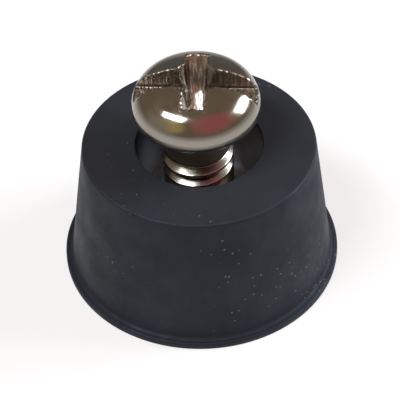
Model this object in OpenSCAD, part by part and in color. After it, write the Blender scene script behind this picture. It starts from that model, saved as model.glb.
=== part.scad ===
// Tapered rubber foot with the screw that fixes it.
// The wide face goes against the furniture and the small face stands on the floor.
// The screw is pushed part-way in, so its head stands clear of the counterbore.

/* [Foot] */
// Height from the mounting face to the ground face
foot_h = 8.25; // [6:0.25:12]
// Diameter of the tapered wall, carried down to the mounting face
wall_base_d = 15.3; // [14:0.1:20]
// Diameter of the tapered wall, carried up to the ground face
wall_top_d = 13; // [11:0.1:15]
// How far the thin moulding lip stands out from the wall's foot
lip_reach = 0.35; // [0.15:0.05:1]
// Thickness of the moulding lip
lip_t = 0.4; // [0.2:0.05:1]
// Hollow radius between the lip and the wall
lip_fillet = 0.3; // [0.05:0.05:0.8]
// Rounding of the lip's edge and of both rims of the ground face
rim_r = 0.15; // [0.05:0.05:0.2]

/* [Counterbore] */
// Depth of the counterbore below the ground face
counterbore_depth = 4.5; // [2:0.25:5]
// Gap round the head once the screw is driven home
head_clearance = 0.1; // [0.05:0.05:0.5]
// Gap round the thread in the through hole
thread_clearance = 0.05; // [0.02:0.01:0.2]

/* [Screw] */
// Outer diameter of the thread
thread_d = 4; // [3.6:0.1:4.5]
// Length under the head
screw_l = 10; // [8:1:16]
// Diameter of the plain neck under the head
neck_d = 3.5; // [2.6:0.1:3.9]
// Length of the plain neck
neck_l = 1.8; // [0.5:0.1:3]
// Hollow radius between the neck and the head
neck_fillet = 0.2; // [0.05:0.05:0.4]
// Chamfer at the tip
tip_chamfer = 0.45; // [0.1:0.05:0.8]
// Height of the tip above the mounting face
tip_lift = 0.5; // [0:0.25:3]

/* [Head] */
// Diameter of the head
head_d = 6.9; // [6.5:0.1:7.5]
// Height of the head
head_h = 2.7; // [2.5:0.05:3.2]
// Radius of the bulge round the side of the head
head_side_r = 1.6; // [1.2:0.05:1.75]
// Radius of the lower edge of the head
head_edge_r = 0.6; // [0.1:0.05:0.8]

/* [Drive] */
// Width of the slot
slot_w = 1.2; // [0.8:0.1:1.5]
// Depth of the slot below the crown
slot_depth = 1.3; // [0.8:0.1:1.6]
// Span of the cross where it meets the crown
cross_span = 4.4; // [3.5:0.1:5]
// Width of the arms of the cross, where their ends meet the crown
cross_w = 1.1; // [0.9:0.1:1.4]
// Diameter of the hollow between the arms, where it meets the crown
cross_core_d = 2.4; // [1.8:0.1:3]
// Depth of the cross below the crown
cross_depth = 2.2; // [1.7:0.1:2.4]
// Lean of the ends of the arms, in degrees from upright
arm_end_lean = 26.5; // [15:0.5:27]
// Lean of the sides of the arms, in degrees from upright
arm_side_lean = 9; // [2:0.5:11]
// Lean of the wall of the hollow between the arms, in degrees from upright
core_lean = 20; // [10:1:22]
// Turn of the slot about the screw's axis, in degrees
drive_turn = -4.5; // [-90:0.5:90]

/* [Hidden] */
$fn = 96;

wall_lean = atan((wall_base_d - wall_top_d) / 2 / foot_h);
lip_r = wall_base_d / 2 + lip_reach;
fillet_r = min(lip_fillet, lip_reach);
counterbore_r = head_d / 2 + head_clearance;
counterbore_floor = foot_h - counterbore_depth;
hole_r = thread_d / 2 + thread_clearance;

thread_r = thread_d / 2;
neck_r = neck_d / 2;
run_out = thread_r - neck_r;
underside_z = tip_lift + screw_l;

// The side bulge is one arc, and the crown is a wider arc that runs tangent into it
bulge_x = head_d / 2 - head_side_r;
crown_rise = head_h - head_edge_r;
crown_gap = crown_rise - head_side_r;
crown_r = (bulge_x * bulge_x + crown_rise * crown_rise - head_side_r * head_side_r) / crown_gap / 2;
crown_z = head_h - crown_r;
tangent_z = crown_z + (head_edge_r - crown_z) * crown_r / (crown_r - head_side_r);

// Height of the crown at a distance from the axis
function crown_height(r) = crown_z + sqrt(crown_r * crown_r - r * r);

// Radius of the tapered wall at a height above the mounting face
function wall_r(z) = wall_base_d / 2 - z * tan(wall_lean);

// A point at a distance from another, in a direction in degrees
function reach_from(point, direction, distance) = point + distance * [cos(direction), sin(direction)];

// The web between a corner and an arc tangent to both its sides.
// Added, it fills a hollow corner; cut away, it rounds a sharp one.
module corner_web(corner, side_a, side_b, r) {
    half = (side_b - side_a) / 2;
    centre = reach_from(corner, side_a + half, r / sin(half));
    difference() {
        polygon([
            corner,
            reach_from(corner, side_a, r / tan(half)),
            centre,
            reach_from(corner, side_b, r / tan(half))
        ]);
        translate(centre) circle(r);
    }
}

// Half section of the foot, right of its axis
module foot_section() {
    difference() {
        union() {
            polygon([[0, 0], [wall_r(0), 0], [wall_r(foot_h), foot_h], [0, foot_h]]);
            square([lip_r, lip_t]);
            corner_web([wall_r(lip_t), lip_t], 0, 90 + wall_lean, fillet_r);
        }
        corner_web([lip_r, lip_t], 180, 270, rim_r);
        corner_web([wall_r(foot_h), foot_h], 180, 270 + wall_lean, rim_r);
        corner_web([counterbore_r, foot_h], 270, 360, rim_r);
        translate([0, counterbore_floor]) square([counterbore_r, counterbore_depth]);
        square([hole_r, foot_h]);
    }
}

module rubber_foot() {
    color("#34373c")
    rotate_extrude() foot_section();
}

// Half section of the head, standing on its underside
module head_section() {
    square([head_d / 2 - head_edge_r, head_edge_r]);
    intersection() {
        translate([head_d / 2 - head_edge_r, head_edge_r]) circle(head_edge_r);
        square([head_d / 2, head_edge_r]);
    }
    square([bulge_x, tangent_z]);
    intersection() {
        translate([bulge_x, head_edge_r]) circle(head_side_r);
        translate([0, head_edge_r]) square([head_d / 2, tangent_z - head_edge_r]);
    }
    intersection() {
        translate([0, crown_z]) circle(crown_r);
        translate([0, tangent_z]) square([head_d / 2, head_h - tangent_z]);
    }
}

// Half section of the shank, which starts inside the head and hangs from its underside
module shank_section() {
    polygon([
        [0, head_edge_r],
        [neck_r, head_edge_r],
        [neck_r, -neck_l],
        [thread_r, -neck_l - run_out],
        [thread_r, tip_chamfer - screw_l],
        [thread_r - tip_chamfer, -screw_l],
        [0, -screw_l]
    ]);
    corner_web([neck_r, 0], 270, 360, neck_fillet);
}

// Outline of a hollow whose walls lean in towards the floor of the recess.
// Its width is given at the height where it meets the crown.
module leaning_outline(width, rim_z, lean) {
    floor_z = head_h - cross_depth;
    low = width / 2 - (rim_z - floor_z) * tan(lean);
    high = width / 2 + (head_h - rim_z) * tan(lean);
    polygon([[-low, floor_z], [low, floor_z], [high, head_h], [-high, head_h]]);
}

// One pair of arms of the cross, along X
module cross_arms() {
    rim_z = crown_height(cross_span / 2);
    intersection() {
        rotate([90, 0, 0])
        linear_extrude(height = head_d, center = true)
        leaning_outline(cross_span, rim_z, arm_end_lean);
        rotate([90, 0, 90])
        linear_extrude(height = head_d, center = true)
        leaning_outline(cross_w, rim_z, arm_side_lean);
    }
}

// The hollow between the arms
module cross_core() {
    rotate_extrude()
    intersection() {
        leaning_outline(cross_core_d, crown_height(cross_core_d / 2), core_lean);
        square([head_d / 2, head_h]);
    }
}

module drive_recess() {
    translate([-head_d / 2, -slot_w / 2, head_h - slot_depth]) cube([head_d, slot_w, slot_depth]);
    cross_arms();
    rotate([0, 0, 90]) cross_arms();
    cross_core();
}

module screw() {
    color("#c9c5bc")
    translate([0, 0, underside_z])
    rotate([0, 0, drive_turn])
    difference() {
        union() {
            rotate_extrude() head_section();
            rotate_extrude() shank_section();
        }
        drive_recess();
    }
}

rubber_foot();
screw();
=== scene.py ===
import math
import bpy
import numpy as np
from mathutils import Matrix, Vector


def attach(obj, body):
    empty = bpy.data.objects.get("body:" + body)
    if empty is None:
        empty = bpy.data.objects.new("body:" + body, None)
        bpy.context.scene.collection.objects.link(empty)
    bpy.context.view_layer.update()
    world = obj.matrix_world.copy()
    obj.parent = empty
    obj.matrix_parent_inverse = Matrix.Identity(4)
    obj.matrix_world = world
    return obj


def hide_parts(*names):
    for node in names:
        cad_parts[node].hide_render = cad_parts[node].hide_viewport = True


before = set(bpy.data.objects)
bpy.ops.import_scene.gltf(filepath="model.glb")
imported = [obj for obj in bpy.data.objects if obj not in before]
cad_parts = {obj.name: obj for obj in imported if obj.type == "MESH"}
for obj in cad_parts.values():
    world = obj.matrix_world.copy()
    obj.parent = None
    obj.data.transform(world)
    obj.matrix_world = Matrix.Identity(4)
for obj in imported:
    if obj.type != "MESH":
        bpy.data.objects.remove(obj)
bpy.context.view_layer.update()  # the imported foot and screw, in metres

mm = 0.001
noiseLow, noiseMiddle, noiseHigh = 0.3, 0.5, 0.7    # nearly all of a noise texture's values lie in these
print("frame loaded:", ", ".join(sorted(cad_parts)))


def srgb(hexColour):
    # hex as a paint chart writes it, to the linear values that the shader wants
    parts = [int(hexColour.lstrip("#")[i:i + 2], 16) / 255 for i in (0, 2, 4)]
    return tuple(c / 12.92 if c <= 0.04045 else ((c + 0.055) / 1.055) ** 2.4 for c in parts) + (1.0,)


def addNode(tree, kind, settings=None, links=None):
    # settings name an input socket or a property; links name an input socket and give an output
    node = tree.nodes.new(kind)
    for key, value in (settings or {}).items():
        if isinstance(key, int) or key in node.inputs:
            node.inputs[key].default_value = value
        else:
            setattr(node, key, value)
    for key, output in (links or {}).items():
        tree.links.new(output, node.inputs[key])
    return node


def newMaterial(name):
    material = bpy.data.materials.new(name)
    material.use_nodes = True
    material.node_tree.nodes.clear()
    return material, material.node_tree


def meshObject(name, points, faces, material):
    # points in millimetres
    mesh = bpy.data.meshes.new(name)
    mesh.from_pydata([tuple(p) for p in np.asarray(points) * mm], [], [tuple(f) for f in faces])
    mesh.validate()
    mesh.polygons.foreach_set("use_smooth", [True] * len(mesh.polygons))
    mesh.update()
    piece = bpy.data.objects.new(name, mesh)
    bpy.context.scene.collection.objects.link(piece)
    mesh.materials.append(material)
    return piece


def fade(values, full, gone):
    # 1 at full and beyond it, falling evenly to 0 at gone
    return np.clip((gone - values) / (gone - full), 0, 1)


def markPoints(piece, name, values):
    # one value for each point, which the material reads by this name
    attribute = piece.data.attributes.new(name, "FLOAT", "POINT")
    attribute.data.foreach_set("value", np.asarray(values, dtype=np.float32))


def direction(azimuth, elevation):
    # degrees: azimuth 0 looks away from the camera, 90 is on the right; elevation is above the floor
    bearing, rise = math.radians(azimuth), math.radians(elevation)
    return Vector((math.sin(bearing) * math.cos(rise), math.cos(bearing) * math.cos(rise), math.sin(rise)))


# the camera looks down on the foot from the front
view = {
    "aim": (-0.03, 0.0, 3.71),   # point in the middle of the frame, mm
    "distance": 84.6,            # mm
    "elevation": 45.02,          # degrees above the floor
    "roll": -1.553,              # degrees
    "lens": 132.38,              # mm
    "sensor": 36.0,              # mm
    "clip": (1.0, 50000.0),      # mm, the nearest and farthest that it sees
}


def makeCamera():
    lens = bpy.data.cameras.new("camera")
    lens.lens = view["lens"]
    lens.sensor_width = view["sensor"]
    lens.clip_start = view["clip"][0] * mm
    lens.clip_end = view["clip"][1] * mm
    camera = bpy.data.objects.new("camera", lens)
    back = direction(180, view["elevation"])
    roll = Matrix.Rotation(math.radians(view["roll"]), 3, "Z")
    camera.matrix_world = ((-back).to_track_quat("-Z", "Y").to_matrix() @ roll).to_4x4()
    camera.location = (Vector(view["aim"]) + back * view["distance"]) * mm
    bpy.context.scene.collection.objects.link(camera)
    bpy.context.scene.camera = camera


makeCamera()
print("camera set")

# two soft boxes in a dim room with brown walls, over a white board painted greyer away from the foot, as
# light falls off
light = {
    "softboxes": [               # width and height in mm, the angles in degrees, turn about its own middle
        {"name": "left softbox", "azimuth": -118, "elevation": 56, "width": 800, "height": 440, "turn": 23,
         "watts": 17.5, "colour": "#f1f7ff"},
        {"name": "right softbox", "azimuth": 78, "elevation": 28, "width": 760, "height": 680, "turn": 0,
         "watts": 24.0, "colour": "#f1f7ff"},
    ],
    "distance": 1500,            # mm, from the foot to each soft box
    "floorColour": "#fbfbfb",
    "paintedFalloffColour": "#b4b3b0",
    "paintedFalloffRange": (14, 90),       # mm from the foot, where the painted falloff starts and ends
    "floorPlain": 0.65,          # share of what is seen of the board that is its own plain colour
    "floorSize": 900,            # mm, wide enough to fill the view from the sides
    "floorDrop": 0.02,           # mm below the foot, so that the two faces don't share a plane
    "walls": "#92826e",
    "ceiling": "#978671",
    # wide soft patches of the room: a rust curtain, an ochre one, a beige one and a grey doorway,
    # in degrees; full and gone are how far from its middle a patch is whole, and where it ends
    "corners": [
        {"colour": "#cc7c7a", "azimuth": 147, "elevation": 40, "full": 18, "gone": 43},
        {"colour": "#dccb8c", "azimuth": -130, "elevation": 26, "full": 12, "gone": 30},
        {"colour": "#b9ae9b", "azimuth": -110, "elevation": 12, "full": 6, "gone": 30},
        {"colour": "#777874", "azimuth": -5, "elevation": 8, "full": 14, "gone": 42},
    ],
}


def makeSoftbox(box):
    lamp = bpy.data.lights.new(box["name"], "AREA")
    lamp.shape = "RECTANGLE"
    lamp.size = box["width"] * mm
    lamp.size_y = box["height"] * mm
    lamp.energy = box["watts"]
    lamp.color = srgb(box["colour"])[:3]
    out = direction(box["azimuth"], box["elevation"])
    softbox = bpy.data.objects.new(box["name"], lamp)
    turn = Matrix.Rotation(math.radians(box["turn"]), 3, "Z")
    softbox.matrix_world = (out.to_track_quat("Z", "Y").to_matrix() @ turn).to_4x4()
    softbox.location = out * light["distance"] * mm
    bpy.context.scene.collection.objects.link(softbox)


def makeRoom():
    world = bpy.data.worlds.new("room")
    bpy.context.scene.world = world
    world.use_nodes = True
    tree = world.node_tree
    tree.nodes.clear()
    where = addNode(tree, "ShaderNodeTexCoord").outputs["Generated"]
    height = addNode(tree, "ShaderNodeSeparateXYZ", links={0: where}).outputs["Z"]
    colour = addNode(tree, "ShaderNodeMix", {
        "data_type": "RGBA", 6: srgb(light["walls"]), 7: srgb(light["ceiling"])}, {0: height}).outputs[2]
    for corner in light["corners"]:
        toward = tuple(direction(corner["azimuth"], corner["elevation"]))
        near = addNode(tree, "ShaderNodeVectorMath", {"operation": "DOT_PRODUCT", 1: toward}, {0: where})
        share = addNode(tree, "ShaderNodeMapRange", {
            "interpolation_type": "SMOOTHSTEP",
            "From Min": math.cos(math.radians(corner["gone"])),
            "From Max": math.cos(math.radians(corner["full"]))}, {"Value": near.outputs["Value"]})
        colour = addNode(tree, "ShaderNodeMix", {"data_type": "RGBA", 7: srgb(corner["colour"])},
                         {0: share.outputs[0], 6: colour}).outputs[2]
    glow = addNode(tree, "ShaderNodeBackground", {"Strength": 1.0}, {"Color": colour})
    addNode(tree, "ShaderNodeOutputWorld", links={"Surface": glow.outputs[0]})


def makeFloor():
    # matt white board, painted greyer away from the foot as a falloff of light; it keeps the soft shadow
    material, tree = newMaterial("matt white board")
    where = addNode(tree, "ShaderNodeTexCoord").outputs["Object"]
    away = addNode(tree, "ShaderNodeVectorMath", {"operation": "LENGTH"}, {0: where}).outputs["Value"]
    far = addNode(tree, "ShaderNodeMapRange", {
        "interpolation_type": "SMOOTHSTEP",
        "From Min": light["paintedFalloffRange"][0] * mm,
        "From Max": light["paintedFalloffRange"][1] * mm}, {"Value": away}).outputs[0]
    paper = addNode(tree, "ShaderNodeMix", {
        "data_type": "RGBA",
        6: srgb(light["floorColour"]),
        7: srgb(light["paintedFalloffColour"])}, {0: far}).outputs[2]
    board = addNode(tree, "ShaderNodeBsdfPrincipled", {"Roughness": 0.9, "Specular IOR Level": 0.1},
                    {"Base Color": paper})
    # most of what is seen of the board is its own plain colour, which lightens the shadow on it
    rays = addNode(tree, "ShaderNodeLightPath")
    seen = addNode(tree, "ShaderNodeMath", {"operation": "MAXIMUM"}, {
        0: rays.outputs["Is Camera Ray"], 1: rays.outputs["Is Glossy Ray"]}).outputs[0]
    seen = addNode(tree, "ShaderNodeMath", {"operation": "MAXIMUM"}, {
        0: seen, 1: rays.outputs["Is Transmission Ray"]}).outputs[0]
    share = addNode(tree, "ShaderNodeMath", {
        "operation": "MULTIPLY", 1: light["floorPlain"]}, {0: seen}).outputs[0]
    plain = addNode(tree, "ShaderNodeEmission", {"Strength": 1.0}, {"Color": paper})
    mixed = addNode(tree, "ShaderNodeMixShader", links={0: share, 1: board.outputs[0], 2: plain.outputs[0]})
    addNode(tree, "ShaderNodeOutputMaterial", links={"Surface": mixed.outputs[0]})
    half = light["floorSize"] / 2
    corners = [(-half, -half, 0), (half, -half, 0), (half, half, 0), (-half, half, 0)]
    floor = meshObject("floor", corners, [(0, 1, 2, 3)], material)
    floor.location.z = -light["floorDrop"] * mm


for box in light["softboxes"]:
    makeSoftbox(box)
makeRoom()
makeFloor()
print("light and floor set")

# moulded rubber foot
rubber = {
    "dark": "#0e1117",
    "light": "#151a21",
    "sheen": "#dce8fb",          # tints what it reflects, as a thin film of bloom scatters blue
    "roughness": (0.5, 0.76),    # of the dark patches and of the light ones
    "mottle": 1.9,               # mm across a soft patch
    "grain": 0.14,               # mm, the mould's matt grain, drawn coarser than real so that it shows
    "grainDepth": 0.02,          # mm
    "paintedFill": "#bcc2c8",         # painted fill light, lightest deep in the counterbore where the shade is darkest
    "paintedFillFade": (4.1, 0.1),    # mm below the ground face, where it is full and where it starts
    "paintedFillCurve": (0.6, 3.5),   # how it thickens with depth on the right and on the left; 1 is evenly
    "paintedFillWidth": 0.02,         # mm outside the counterbore's wall that it reaches, on the rounded mouth
    "paintedFillEnd": 0.2,            # mm above the floor, where it ends in the hole
    "dustAndTopLight": "#2b2d31",        # dust on the ground face, painted lighter for the light that falls on the top
    "dustAndTopLightShare": 0.6,
    "dustAndTopLightDepth": 0.03,        # mm that it reaches down the ground face's rounded edges
    "speck": "#8d9196",
    "speckTone": 0.3,            # how much of its own colour a speck shows
    "speckSpacing": 0.45,        # mm between specks
    "speckSize": 0.14,           # the largest speck's radius, as a share of the spacing
    "speckPatch": 5.0,           # mm across a patch of specks
    "speckFrom": (0.44, 0.65),   # the patch's noise where specks start, and where they are largest
}


def mouldedRubber():
    # carbon-black rubber pressed in a matt steel mould: dark, faintly blue and dull,
    # with a soft sheen at the edges and a few specks of dust
    material, tree = newMaterial("moulded rubber")
    where = addNode(tree, "ShaderNodeTexCoord").outputs["Object"]
    mottle = addNode(tree, "ShaderNodeTexNoise", {
        "Scale": 1 / (rubber["mottle"] * mm), "Detail": 5.0, "Roughness": 0.6}, {"Vector": where}).outputs[0]
    colour = addNode(tree, "ShaderNodeMix", {
        "data_type": "RGBA", 6: srgb(rubber["dark"]), 7: srgb(rubber["light"])}, {0: mottle}).outputs[2]
    # dust on the ground face painted lighter for the light from above, and painted fill light in the
    # counterbore
    for layer in ("dustAndTopLight", "paintedFill"):
        cover = addNode(tree, "ShaderNodeAttribute", {"attribute_name": layer}).outputs["Fac"]
        colour = addNode(tree, "ShaderNodeMix", {
            "data_type": "RGBA", 7: srgb(rubber[layer])}, {0: cover, 6: colour}).outputs[2]
    patch = addNode(tree, "ShaderNodeTexNoise", {
        "Scale": 1 / (rubber["speckPatch"] * mm), "Detail": 1.0}, {"Vector": where}).outputs[0]
    reach = addNode(tree, "ShaderNodeMapRange", {
        "From Min": rubber["speckFrom"][0],
        "From Max": rubber["speckFrom"][1],
        "To Max": rubber["speckSize"]}, {"Value": patch}).outputs[0]
    specks = addNode(tree, "ShaderNodeTexVoronoi", {
        "Scale": 1 / (rubber["speckSpacing"] * mm)}, {"Vector": where}).outputs["Distance"]
    isSpeck = addNode(tree, "ShaderNodeMath", {"operation": "LESS_THAN"}, {0: specks, 1: reach}).outputs[0]
    tone = addNode(tree, "ShaderNodeMath", {
        "operation": "MULTIPLY", 1: rubber["speckTone"]}, {0: isSpeck}).outputs[0]
    colour = addNode(tree, "ShaderNodeMix", {
        "data_type": "RGBA", 7: srgb(rubber["speck"])}, {0: tone, 6: colour}).outputs[2]
    rough = addNode(tree, "ShaderNodeMapRange", {
        "From Min": noiseLow,
        "From Max": noiseHigh,
        "To Min": rubber["roughness"][0],
        "To Max": rubber["roughness"][1]}, {"Value": mottle}).outputs[0]
    grain = addNode(tree, "ShaderNodeTexNoise", {
        "Scale": 1 / (rubber["grain"] * mm), "Detail": 2.0}, {"Vector": where}).outputs[0]
    bump = addNode(tree, "ShaderNodeBump", {
        "Strength": 0.25, "Distance": rubber["grainDepth"] * mm}, {"Height": grain}).outputs[0]
    shader = addNode(tree, "ShaderNodeBsdfPrincipled", {
        "Specular IOR Level": 0.38, "IOR": 1.5, "Specular Tint": srgb(rubber["sheen"])}, {
        "Base Color": colour, "Roughness": rough, "Normal": bump})
    addNode(tree, "ShaderNodeOutputMaterial", links={"Surface": shader.outputs[0]})
    return material


foot = {
    "height": 8.25,              # mm, as the rest is
    "wallBase": 15.3,            # diameter of the tapered wall at the floor
    "wallTop": 13.0,             # and at the ground face
    "lip": 16.0,                 # and over the lip
    "lipThickness": 0.4,
    "lipHollow": 0.3,            # radius between the lip and the wall
    "counterbore": 7.1,          # diameter, as the hole's
    "counterboreDepth": 4.5,
    "hole": 4.1,
    "outerRim": 0.15,            # rounding of the lip's top and of the ground face's outer edge
    "lowerRim": 0.05,            # of the lip's lower edge
    "mouthRim": 0.05,            # of the counterbore's mouth
    "boreHollow": 0.2,           # where the counterbore's wall meets its floor
    "holeRim": 0.08,             # of the hole's two edges
    "step": 0.3,                 # between the points on a straight stretch
    "segments": 360,             # round the foot, a plain number
}


def roundedOutline(corners, spacing):
    # corners are (radius, height, rounding); straight stretches are cut up into short steps
    arcSteps = 6
    outline = []
    count = len(corners)
    for i in range(count):
        before, here, after = (Vector(corners[(i + k) % count][:2]) for k in (-1, 0, 1))
        toBefore, toAfter = (before - here).normalized(), (after - here).normalized()
        half = toBefore.angle(toAfter) / 2
        rounding = corners[i][2]
        reach = rounding / math.tan(half)
        start, end = here + toBefore * reach, here + toAfter * reach
        centre = here + (toBefore + toAfter).normalized() * (rounding / math.sin(half))
        chord = [start.lerp(end, s / arcSteps) for s in range(arcSteps + 1)]
        arc = [centre + (point - centre).normalized() * rounding for point in chord]
        if outline:
            last = outline[-1]
            steps = max(1, int((arc[0] - last).length / spacing))
            outline.extend(last.lerp(arc[0], s / steps) for s in range(1, steps))
        outline.extend(arc)
    return outline


def turnSection(name, outline, segments, material):
    # the outline turned about the upright axis, ring after ring from the right
    points = []
    faces = []
    count = len(outline)
    for i in range(segments):
        angle = 2 * math.pi * i / segments
        nextRing = (i + 1) % segments * count
        points.extend((p.x * math.cos(angle), p.x * math.sin(angle), p.y) for p in outline)
        for j in range(count):
            k = (j + 1) % count
            faces.append((i * count + j, nextRing + j, nextRing + k, i * count + k))
    return meshObject(name, points, faces, material)


def makeFoot():
    top = foot["height"]
    taper = (foot["wallBase"] - foot["wallTop"]) / 2 / top
    wallR = foot["wallBase"] / 2 - foot["lipThickness"] * taper
    boreR = foot["counterbore"] / 2
    boreFloor = top - foot["counterboreDepth"]
    outline = roundedOutline([
        (foot["hole"] / 2, 0, foot["holeRim"]),
        (foot["lip"] / 2, 0, foot["lowerRim"]),
        (foot["lip"] / 2, foot["lipThickness"], foot["outerRim"]),
        (wallR, foot["lipThickness"], foot["lipHollow"]),
        (foot["wallTop"] / 2, top, foot["outerRim"]),
        (boreR, top, foot["mouthRim"]),
        (boreR, boreFloor, foot["boreHollow"]),
        (foot["hole"] / 2, boreFloor, foot["holeRim"]),
    ], foot["step"])
    piece = turnSection("rubberFoot", outline, foot["segments"], mouldedRubber())
    # painted fill light lightens the shade down the counterbore, reaching higher on the right than on the
    # left wall, which the right softbox lights
    radii, heights = np.array(outline).T
    inBore = (radii < boreR + rubber["paintedFillWidth"]) & (heights > rubber["paintedFillEnd"])
    down = fade(top - heights, *rubber["paintedFillFade"]) * inBore
    bearing = np.arange(foot["segments"]) * 2 * math.pi / foot["segments"]
    right, left = rubber["paintedFillCurve"]
    leftward = (1 - np.cos(bearing)) / 2    # 0 on the right, 1 on the left
    curve = right + (left - right) * leftward
    markPoints(piece, "paintedFill", (down[None, :] ** curve[:, None]).ravel())
    # dust settles on the ground face, which is also painted lighter there for the light from above
    dustAndTopLight = (heights > top - rubber["dustAndTopLightDepth"]) * rubber["dustAndTopLightShare"]
    markPoints(piece, "dustAndTopLight", np.tile(dustAndTopLight, foot["segments"]))
    return piece


footPiece = makeFoot()
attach(footPiece, "root")
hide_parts("rubber_foot")
print("rubber foot:", len(footPiece.data.polygons), "faces")

# nickel-plated pan-head screw
nickel = {
    "bright": "#9b958c",
    "dull": "#918b82",
    "roughness": (0.11, 0.21),   # of the dull patches and of the bright ones
    "haze": 0.9,                 # mm across a patch
    "wave": 0.8,                 # mm between the plating's slow waves
    "waveDepth": 0.03,           # mm
    "drawnRoughness": 0.45,      # the neck keeps the drawn wire's duller skin
    "pressedRoughness": 0.24,    # and the recess the punch's satin one
    "satinAndPaintedLift": "#b8b1a6",          # the punched metal's satin, painted lighter than the dome to lift the shade in the recess
    "scored": "#776f65",         # and darker in the drag lines
    "dragLines": 0.12,           # mm between the punch's drag lines, coarser than real so that they show
    "dragScale": (1.0, 0.2, 0.08),  # of their pattern, which draws them out front to back and downwards
    "dragDepth": 0.07,           # mm
    "dragFrom": (0.58, 0.38),    # the pattern's values where a line starts, and where it is darkest
    "dragShare": 0.8,
    "paintedShade": "#4a4743",          # painted shade: darker in the thread's roots, round the punch's point, in the slot's floor corners and along the recess's rim, which also dims their highlights
    "paintedShadeShare": 0.85,
}


def nickelPlatedSteel():
    # cold-headed steel, barrel-plated with nickel: a slightly wavy mirror with a warm cast,
    # satin inside the recess, where the punch dragged the metal down
    material, tree = newMaterial("nickel-plated steel")
    where = addNode(tree, "ShaderNodeTexCoord").outputs["Object"]
    pressed = addNode(tree, "ShaderNodeAttribute", {"attribute_name": "pressed"}).outputs["Fac"]
    paintedShadeMask = addNode(tree, "ShaderNodeAttribute", {"attribute_name": "paintedShadeMask"}).outputs["Fac"]
    drawn = addNode(tree, "ShaderNodeAttribute", {"attribute_name": "drawn"}).outputs["Fac"]
    haze = addNode(tree, "ShaderNodeTexNoise", {
        "Scale": 1 / (nickel["haze"] * mm), "Detail": 6.0}, {"Vector": where}).outputs[0]
    plated = addNode(tree, "ShaderNodeMix", {
        "data_type": "RGBA", 6: srgb(nickel["dull"]), 7: srgb(nickel["bright"])}, {0: haze}).outputs[2]
    rough = addNode(tree, "ShaderNodeMapRange", {
        "From Min": noiseLow,
        "From Max": noiseHigh,
        "To Min": nickel["roughness"][0],
        "To Max": nickel["roughness"][1]}, {"Value": haze}).outputs[0]
    for part, skin in ((drawn, "drawnRoughness"), (pressed, "pressedRoughness")):
        rough = addNode(tree, "ShaderNodeMix", {
            "data_type": "FLOAT", "B": nickel[skin]}, {0: part, "A": rough}).outputs[0]
    waves = addNode(tree, "ShaderNodeTexNoise", {
        "Scale": 1 / (nickel["wave"] * mm), "Detail": 2.0}, {"Vector": where}).outputs[0]
    wavy = addNode(tree, "ShaderNodeBump", {
        "Strength": 0.1, "Distance": nickel["waveDepth"] * mm}, {"Height": waves}).outputs[0]
    stretched = addNode(tree, "ShaderNodeMapping", {
        "Scale": nickel["dragScale"]}, {"Vector": where}).outputs[0]
    lines = addNode(tree, "ShaderNodeTexNoise", {
        "Scale": 1 / (nickel["dragLines"] * mm), "Detail": 3.0}, {"Vector": stretched}).outputs[0]
    level = addNode(tree, "ShaderNodeMath", {"operation": "SUBTRACT", 1: noiseMiddle}, {0: lines}).outputs[0]
    scored = addNode(tree, "ShaderNodeMath", {"operation": "MULTIPLY"}, {0: level, 1: pressed}).outputs[0]
    dragged = addNode(tree, "ShaderNodeBump", {
        "Strength": 1.0, "Distance": nickel["dragDepth"] * mm}, {"Height": scored, "Normal": wavy}).outputs[0]
    inLine = addNode(tree, "ShaderNodeMapRange", {
        "From Min": nickel["dragFrom"][0],
        "From Max": nickel["dragFrom"][1],
        "To Max": nickel["dragShare"]}, {"Value": lines}).outputs[0]
    # the recess is painted lighter than the dome, to lift the shade in it
    satinAndPaintedLift = addNode(tree, "ShaderNodeMix", {
        "data_type": "RGBA", 6: srgb(nickel["satinAndPaintedLift"]), 7: srgb(nickel["scored"])}, {0: inLine}).outputs[2]
    colour = addNode(tree, "ShaderNodeMix", {
        "data_type": "RGBA"}, {0: pressed, 6: plated, 7: satinAndPaintedLift}).outputs[2]
    # painted shade darkens the thread's roots and the recess's corners, point and rim
    shadeAmount = addNode(tree, "ShaderNodeMath", {
        "operation": "MULTIPLY", 1: nickel["paintedShadeShare"]}, {0: paintedShadeMask}).outputs[0]
    colour = addNode(tree, "ShaderNodeMix", {
        "data_type": "RGBA", 7: srgb(nickel["paintedShade"])}, {0: shadeAmount, 6: colour}).outputs[2]
    shader = addNode(tree, "ShaderNodeBsdfPrincipled", {"Metallic": 1.0}, {
        "Base Color": colour, "Roughness": rough, "Normal": dragged})
    addNode(tree, "ShaderNodeOutputMaterial", links={"Surface": shader.outputs[0]})
    return material


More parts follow.
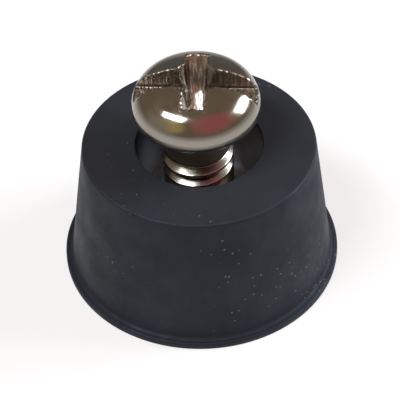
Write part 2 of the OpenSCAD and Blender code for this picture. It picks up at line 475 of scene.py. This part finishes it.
screw = {
    "tip": 0.5,                  # height of the tip above the floor, in mm as the rest is
    "length": 10.0,
    "thread": 4.0,               # diameter, as the root's, the neck's and the head's
    "root": 3.08,
    "pitch": 0.8,
    "flankLean": 58.0,           # degrees between the thread's flanks and the axis
    "threadTurn": 40.0,          # degrees, where the thread starts
    "threadStart": 8.35,         # height where the first turn starts to rise
    "fullCrest": 7.6,            # height below which the crests are full
    "fullRoot": 7.8,             # and the roots
    "rootEdge": 0.06,            # softness of the roots' corners
    "crestEdge": 0.02,           # and of the crests'
    "tipChamfer": 0.45,
    "tipEdge": 0.05,
    "neck": 3.7,
    "neckHollow": 0.2,
    "neckInside": 0.4,           # how far the neck goes on up inside the head
    "head": 7.0,
    "headHeight": 2.67,
    "sideRadius": 1.65,
    "sideCentre": 0.6,           # height of the middle of the side's arc above the underside
    "edgeRadius": 0.36,          # of the head's lower edge
    "slot": 1.2,
    "slotDepth": 1.4,
    "crossSpan": 4.4,            # across the arms, where their ends meet the crown
    "armWidth": 1.15,            # at that height too
    "core": 2.4,                 # across the hollow between the arms, near the crown
    "coreRim": 0.14,             # how far below the crown's middle that is
    "point": 3.0,                # across the punch's steep point
    "pointDepth": 3.1,
    "pointSlope": 0.73,          # its rise for each mm outwards
    "floorSlope": 0.15,          # and that of the floor round it
    "armEndLean": 26.5,          # degrees, as the rest of the leans and turns
    "armSideLean": 6.0,
    "coreLean": 14.0,
    "driveTurn": -4.5,
    "driveShift": (0.0, -0.1),   # the punch struck a little off the middle
    "rolledEdge": 0.05,          # softness of the corners inside the arms
    "floorEdge": 0.15,           # and of those round the cross's floor
    "coreEdge": 0.15,            # between the arms and the hollow between them
    "slotEdge": 0.08,            # round the slot's floor
    "crossEdge": 0.1,            # between the slot and the cross
    "rolledRim": 0.11,           # and of the rim, where the punch drew the metal in
    "unevenRim": 0.9,            # share of that which comes and goes
    "rimWaves": (21, 17, 6, 5),  # radians a mm: two quick waves, then the slow ones that sway them
    "rimSwing": 2.0,             # radians that the slow waves sway the quick ones
    "lean": 0.63,                # degrees to the left, as it stands loose in its hole
    "leanFrom": 2.0,             # height of the point that it leans about
}
underside = screw["tip"] + screw["length"]    # of the head, mm above the floor
crownTop = underside + screw["headHeight"]


def softMin(a, b, softness):
    # the lower of two fields, with a fillet of about this size between them
    near = np.maximum(softness - np.abs(a - b), 0) / softness
    return np.minimum(a, b) - near * near * softness / 4


def softMax(a, b, softness):
    # and the higher of two
    return -softMin(-a, -b, softness)


def crownArc():
    # radius and centre height of the wide arc that runs tangent into the side bulge
    bulge = screw["head"] / 2 - screw["sideRadius"]
    lift = screw["headHeight"] - screw["sideCentre"]
    radius = (bulge ** 2 + lift ** 2 - screw["sideRadius"] ** 2) / (lift - screw["sideRadius"]) / 2
    return radius, screw["headHeight"] - radius


def headField(r, up):
    # side bulge, crown arc and the rounded lower edge
    crownR, crownZ = crownArc()
    side, centre, edge = screw["sideRadius"], screw["sideCentre"], screw["edgeRadius"]
    bulge = screw["head"] / 2 - side
    crown = np.hypot(r, up - crownZ) - crownR
    flank = np.hypot(r - bulge, up - centre) - side
    pastTangent = r * (centre - crownZ) > (up - crownZ) * bulge
    out, down = r - screw["head"] / 2 + edge, edge - up
    low = np.hypot(np.maximum(out, 0), np.maximum(down, 0)) + np.minimum(np.maximum(out, down), 0) - edge
    return np.where(up >= centre, np.where(pastTangent, flank, crown), low)


def recessFloor(r, up):
    # the punch's pointed tip
    inner = np.minimum(r, screw["point"] / 2)
    rise = inner * screw["pointSlope"] + (r - inner) * screw["floorSlope"]
    aslant = 0.81    # turns a height over the point's slope into a distance from it
    return (screw["headHeight"] - screw["pointDepth"] + rise - up) * aslant


def armField(along, across, up):
    # one pair of arms, whose ends and sides lean in towards the floor of the recess
    crownR, crownZ = crownArc()
    half = screw["crossSpan"] / 2
    rim = crownZ + math.sqrt(crownR ** 2 - half ** 2)
    endLean, sideLean = math.radians(screw["armEndLean"]), math.radians(screw["armSideLean"])
    ends = (np.abs(along) - half - (up - rim) * math.tan(endLean)) * math.cos(endLean)
    sides = (np.abs(across) - screw["armWidth"] / 2 - (up - rim) * math.tan(sideLean)) * math.cos(sideLean)
    return softMax(ends, sides, screw["rolledEdge"])


def alongDrive(x, y):
    # along the slot, and across it
    turn = math.radians(screw["driveTurn"])
    x, y = x - screw["driveShift"][0], y - screw["driveShift"][1]
    return x * math.cos(turn) + y * math.sin(turn), y * math.cos(turn) - x * math.sin(turn)


def driveField(u, v, up):
    # slot across the head, the arms of the cross, and the hollow between them
    rise = screw["headHeight"]
    slot = softMax(np.abs(v) - screw["slot"] / 2, rise - screw["slotDepth"] - up, screw["slotEdge"])
    lean = math.radians(screw["coreLean"])
    outward = (up - rise + screw["coreRim"]) * math.tan(lean)
    core = (np.hypot(u, v) - screw["core"] / 2 - outward) * math.cos(lean)
    arms = softMin(armField(u, v, up), armField(v, u, up), screw["coreEdge"])
    cross = softMin(arms, core, screw["coreEdge"])
    cross = softMax(cross, recessFloor(np.hypot(u, v), up), screw["floorEdge"])
    return softMin(slot, cross, screw["crossEdge"])


def shankField(x, y, z, r):
    # right-hand thread that runs out into the plain neck, with a chamfered tip
    outer, root, neck = screw["thread"] / 2, screw["root"] / 2, screw["neck"] / 2
    turn = z / screw["pitch"] - (np.arctan2(y, x) + math.radians(screw["threadTurn"])) / (2 * math.pi)
    ridge = 1 - np.abs(2 * (turn - np.floor(turn)) - 1)    # 0 in the root, 1 on the crest
    steep = math.tan(math.radians(screw["flankLean"])) * screw["pitch"] / 2
    radius = (outer + root) / 2 + (ridge - 0.5) * steep
    crest = neck + (outer - neck) * fade(z, screw["fullCrest"], screw["threadStart"])
    valley = neck - (neck - root) * fade(z, screw["fullRoot"], screw["threadStart"])
    radius = softMin(softMax(radius, valley, screw["rootEdge"]), crest, screw["crestEdge"])
    flankAslant, tipAslant = 0.6, 0.7    # turn a width over these slopes into a distance from them
    chamfer = (r - outer + screw["tipChamfer"] + screw["tip"] - z) * tipAslant
    ends = np.maximum(screw["tip"] - z, z - underside - screw["neckInside"])
    return np.maximum(softMax((r - radius) * flankAslant, chamfer, screw["tipEdge"]), ends)


def solidField(points):
    # head and shank before the drive is pressed
    x, y, z = points[..., 0], points[..., 1], points[..., 2]
    r = np.hypot(x, y)
    return softMin(headField(r, z - underside), shankField(x, y, z, r), screw["neckHollow"])


def pressField(points):
    # what the punch pressed out of the head
    u, v = alongDrive(points[..., 0], points[..., 1])
    return driveField(u, v, points[..., 2] - underside)


def rimWave(points):
    # from -1 to 1, changing every few tenths of a millimetre
    u, v = alongDrive(points[..., 0], points[..., 1])
    quickU, quickV, slowV, slowU = screw["rimWaves"]
    swing = screw["rimSwing"]
    return np.sin(u * quickU + swing * np.sin(v * slowV)) * np.cos(v * quickV + swing * np.sin(u * slowU))


def screwField(points):
    # the rim's rounding comes and goes, as the punch left it
    rim = screw["rolledRim"] * (1 + screw["unevenRim"] * rimWave(points))
    return softMax(solidField(points), -pressField(points), rim)


# how the screw's shape is meshed
meshing = {
    "cell": 0.066,               # mm, spacing of the grid
    "margin": 0.15,              # mm of empty grid round the screw
    "slopeStep": 0.004,          # mm to each side, over which a slope is read
    "leastSlope": 0.05,          # squared, so that no point flies off where the field is nearly level
    "farthestMove": 0.04,        # mm at a time
    "moves": 4,                  # each time that the points go back to the surface
    "evenings": 3,               # times that the faces are evened out
    "evenShare": 0.6,            # how far a point goes towards the middle of its faces each time
}


def settle(points, field):
    # moves each point along the slope of the field until it lies on the surface
    step, farthest = meshing["slopeStep"], meshing["farthestMove"]
    for repeat in range(meshing["moves"]):
        change = [field(points + shift) - field(points - shift) for shift in np.eye(3) * step]
        slope = np.stack(change, axis=-1) / (2 * step)
        squared = np.maximum((slope ** 2).sum(axis=-1, keepdims=True), meshing["leastSlope"])
        move = field(points)[:, None] * slope / squared
        points = points - np.clip(move, -farthest, farthest)
    return points


def meshField(field, low, high, cell):
    # one point in each grid cell that the surface crosses, one face round each grid edge that it crosses
    low = np.array(low)
    counts = np.ceil((np.array(high) - low) / cell).astype(int) + 1
    axes = [low[i] + cell * np.arange(counts[i]) for i in range(3)]
    grid = np.stack(np.meshgrid(*axes, indexing="ij"), axis=-1)
    inside = field(grid) < 0
    filled = sum(inside[a:counts[0] - 1 + a, b:counts[1] - 1 + b, c:counts[2] - 1 + c].astype(int)
                 for a in (0, 1) for b in (0, 1) for c in (0, 1))
    crossed = (filled > 0) & (filled < 8)
    number = np.full(crossed.shape, -1)
    number[crossed] = np.arange(crossed.sum())
    points = low + (np.argwhere(crossed) + 0.5) * cell
    faces = []
    for axis in range(3):
        second, third = (axis + 1) % 3, (axis + 2) % 3
        here = np.moveaxis(inside, axis, 0)
        edge = np.argwhere(np.moveaxis(here[1:] != here[:-1], 0, axis))
        ring = []
        for back in ((0, 0), (1, 0), (1, 1), (0, 1)):
            cellAt = edge.copy()
            cellAt[:, second] -= back[0]
            cellAt[:, third] -= back[1]
            ring.append(number[cellAt[:, 0], cellAt[:, 1], cellAt[:, 2]])
        ring = np.stack(ring, axis=-1)
        leaving = inside[edge[:, 0], edge[:, 1], edge[:, 2]]
        ring[~leaving] = ring[~leaving][:, ::-1]
        faces.append(ring)
    faces = np.concatenate(faces)
    points = settle(points, field)
    even = meshing["evenShare"]
    for repeat in range(meshing["evenings"]):
        # evens out the faces, then goes back to the surface
        middle = np.zeros_like(points)
        share = np.zeros(len(points))
        centres = points[faces].mean(axis=1)
        for corner in range(4):
            np.add.at(middle, faces[:, corner], centres)
            np.add.at(share, faces[:, corner], 1)
        points = settle(points * (1 - even) + middle / share[:, None] * even, field)
    return points, faces


def leanOver(points):
    # the whole screw turns to the left, about a point on its axis
    lean = math.radians(screw["lean"])
    x, y, z = points[:, 0], points[:, 1], points[:, 2] - screw["leanFrom"]
    along, up = x * math.cos(lean) - z * math.sin(lean), z * math.cos(lean) + x * math.sin(lean)
    return np.stack([along, y, up + screw["leanFrom"]], axis=-1)


# how far the marks of making and use, and the painted shade, reach on the screw, mm: where each is full, and
# where it has gone
marks = {
    "pressed": (0.03, 0.23),     # past the rim of the recess
    "drawn": (0.4, 0.1),         # below the head
    "drawnThread": 0.3,          # below the thread's start, where most of the drawn skin is rolled away
    "drawnRolled": 0.75,         # share of it that is
    "rootShade": (0.14, 0.22),     # out from the thread's root
    "rootShare": 0.5,
    "pointShade": (0.1, 0.3),      # up from the punch's point
    "cornerShade": (0.122, 0.2),   # from the corners of the slot's floor
    "cornerShare": 0.65,
    "rimShade": (0.075, 0.125),    # from the rim of the recess
    "rimGaps": (-0.2, 0.3),      # of the rim's wave, from -1 to 1, which breaks it up
    "rootNear": 0.05,            # in from the root; what is nearer the axis is the tip's flat end
}


def markScrew(piece, points):
    # where the punch shaped the metal, where the wire's skin is left, and where shade is painted
    r, z = np.hypot(points[:, 0], points[:, 1]), points[:, 2]
    outside, hollow = solidField(points), pressField(points)
    pressed = fade(outside + hollow, *marks["pressed"])
    inRecess = pressed > 0.5
    offRoot = r - screw["root"] / 2
    onThread = (z < screw["threadStart"]) & (offRoot > -marks["rootNear"])
    inRoot = fade(offRoot, *marks["rootShade"]) * marks["rootShare"] * onThread
    inPoint = fade(z - crownTop + screw["pointDepth"], *marks["pointShade"]) * inRecess
    offSlot = np.abs(alongDrive(points[:, 0], points[:, 1])[1]) - screw["slot"] / 2
    corner = np.hypot(offSlot, z - crownTop + screw["slotDepth"])
    inCorner = fade(corner, *marks["cornerShade"]) * marks["cornerShare"] * inRecess
    offRim = np.abs(outside) + np.abs(hollow)
    onRim = fade(offRim, *marks["rimShade"]) * fade(rimWave(points), *marks["rimGaps"])
    rolled = fade(z, screw["threadStart"] - marks["drawnThread"], screw["threadStart"]) * marks["drawnRolled"]
    markPoints(piece, "pressed", pressed)
    markPoints(piece, "paintedShadeMask", np.maximum.reduce([inRoot, inPoint, inCorner, onRim]))
    markPoints(piece, "drawn", fade(underside - z, *marks["drawn"]) * (1 - rolled))


def makeScrew():
    margin = meshing["margin"]
    reach = screw["head"] / 2 + margin
    low, high = (-reach, -reach, screw["tip"] - margin), (reach, reach, crownTop + margin)
    points, faces = meshField(screwField, low, high, meshing["cell"])
    piece = meshObject("panHeadScrew", leanOver(points), faces.tolist(), nickelPlatedSteel())
    markScrew(piece, points)
    return piece


screwPiece = makeScrew()
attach(screwPiece, "root")
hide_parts("screw")
print("screw:", len(screwPiece.data.polygons), "faces")

bpy.context.scene.view_settings.view_transform = "Standard"
